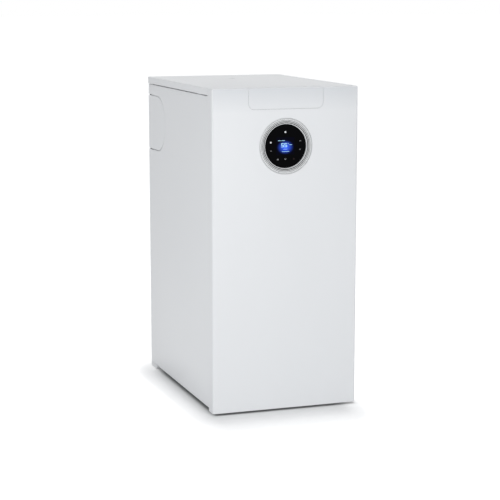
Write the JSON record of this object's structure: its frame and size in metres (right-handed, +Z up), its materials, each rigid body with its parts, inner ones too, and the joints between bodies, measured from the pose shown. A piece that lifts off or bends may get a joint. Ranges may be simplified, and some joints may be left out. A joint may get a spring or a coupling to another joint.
{
  "type": "floor standing gas boiler",
  "caption": "White floor standing gas boiler with a pull-off front, lift-up flap, round touch display, lift-off lid and a condensing heat exchanger, fan and flue inside.",
  "frame": {"origin": "centre of the casing's footprint, on the floor", "axes": "+Z up, the front faces -Y, +X to the right seen from the front"},
  "size_m": [0.4, 0.6, 0.85],
  "materials": {
    "white_paint": "satin",
    "white_plastic": "matt",
    "grey_plastic": "matt",
    "black_plastic": "matt",
    "black_glass": "gloss",
    "galvanised": "satin",
    "cast_alloy": "as cast",
    "steel": "satin",
    "brass": "satin",
    "copper": "satin",
    "rubber": "matt",
    "green_board": "satin",
    "ceramic": "satin",
    "fibre": "matt",
    "yellow_paint": "satin"
  },
  "bodies": {
    "chassis": {"left_side_panel": "white_paint", "right_side_panel": "white_paint", "left_flue_cover": "white_paint", "right_flue_cover": "white_paint", "rear_panel": "galvanised", "top_front_rail": "galvanised", "top_rear_rail": "galvanised", "base_tray": "galvanised", "rear_glide_left": "white_plastic", "rear_glide_right": "white_plastic", "display_bezel": "white_plastic", "display_glass": "black_glass", "display_module": "green_board", "control_box": "grey_plastic", "control_box_cover": "grey_plastic", "control_board": "green_board", "service_recess": "grey_plastic", "mains_switch_body": "black_plastic", "heat_exchanger": "cast_alloy", "exchanger_stand_left": "galvanised", "exchanger_stand_right": "galvanised", "door_gasket": "fibre", "burner_door": "cast_alloy", "burner": "steel", "ignition_electrode": "ceramic", "mixing_bend": "cast_alloy", "fan_housing": "cast_alloy", "fan_motor": "black_plastic", "venturi": "cast_alloy", "air_intake_pipe": "black_plastic", "gas_feed_pipe": "steel", "gas_valve": "cast_alloy", "gas_cock": "brass", "gas_inlet_pipe": "copper", "flue_collector": "white_plastic", "flue_riser": "white_plastic", "flue_adaptor": "black_plastic", "flue_elbow": "white_paint", "flue_inner_elbow": "white_plastic", "condensate_trap": "grey_plastic", "condensate_hose": "grey_plastic", "flow_pipe": "copper", "return_pipe": "copper", "flow_sensor": "brass", "drain_cock": "brass", "wiring_loom": "rubber", "cable_gland": "black_plastic"},
    "front_panel": {"front_panel": "white_paint", "flap_hinge_rod": "steel"},
    "flap": {"access_flap": "white_paint"},
    "lid": {"lid": "white_paint", "lid_plug": "white_plastic"},
    "rocker": {"mains_switch_rocker": "black_plastic"},
    "cock_lever": {"gas_cock_lever": "yellow_paint"},
    "drain_screw": {"drain_spindle": "brass"},
    "fan_rotor": {"fan_impeller": "black_plastic", "fan_shaft": "steel"},
    "test_cap": {"flue_test_cap": "black_plastic"},
    "foot_left": {"levelling_foot_left": "rubber"},
    "foot_right": {"levelling_foot_right": "rubber"}
  },
  "joints": [
    {"name": "front_panel_pull", "type": "slide", "parent": "chassis", "child": "front_panel", "axis": [0, -1, 0], "range_m": [0, 0.2]},
    {"name": "flap_hinge", "type": "hinge", "parent": "front_panel", "child": "flap", "pos_m": [0, -0.2745, 0.8474], "axis": [-1, 0, 0], "range_deg": [0, 85]},
    {"name": "lid_lift", "type": "slide", "parent": "chassis", "child": "lid", "axis": [0, 0, 1], "range_m": [0, 0.12]},
    {"name": "rocker_tilt", "type": "hinge", "parent": "chassis", "child": "rocker", "pos_m": [-0.055, -0.22825, 0.81205], "axis": [1, 0, 0], "range_deg": [-16, 0]},
    {"name": "gas_cock_turn", "type": "hinge", "parent": "chassis", "child": "cock_lever", "pos_m": [0.08, -0.1886, 0.2297], "axis": [0, -1, 0], "range_deg": [0, 90]},
    {"name": "drain_turn", "type": "hinge", "parent": "chassis", "child": "drain_screw", "pos_m": [-0.085, -0.0645, 0.2425], "axis": [0, -1, 0], "range_deg": [0, 180]},
    {"name": "fan_spin", "type": "hinge", "parent": "chassis", "child": "fan_rotor", "pos_m": [-0.053, -0.1275, 0.29], "axis": [0, -1, 0], "continuous": true},
    {"name": "test_cap_pull", "type": "slide", "parent": "chassis", "child": "test_cap", "axis": [0, -1, 0], "range_m": [0, 0.02]},
    {"name": "foot_left_screw", "type": "slide", "parent": "chassis", "child": "foot_left", "axis": [0, 0, -1], "range_m": [0, 0.015]},
    {"name": "foot_right_screw", "type": "slide", "parent": "chassis", "child": "foot_right", "axis": [0, 0, -1], "range_m": [0, 0.015]}
  ]
}
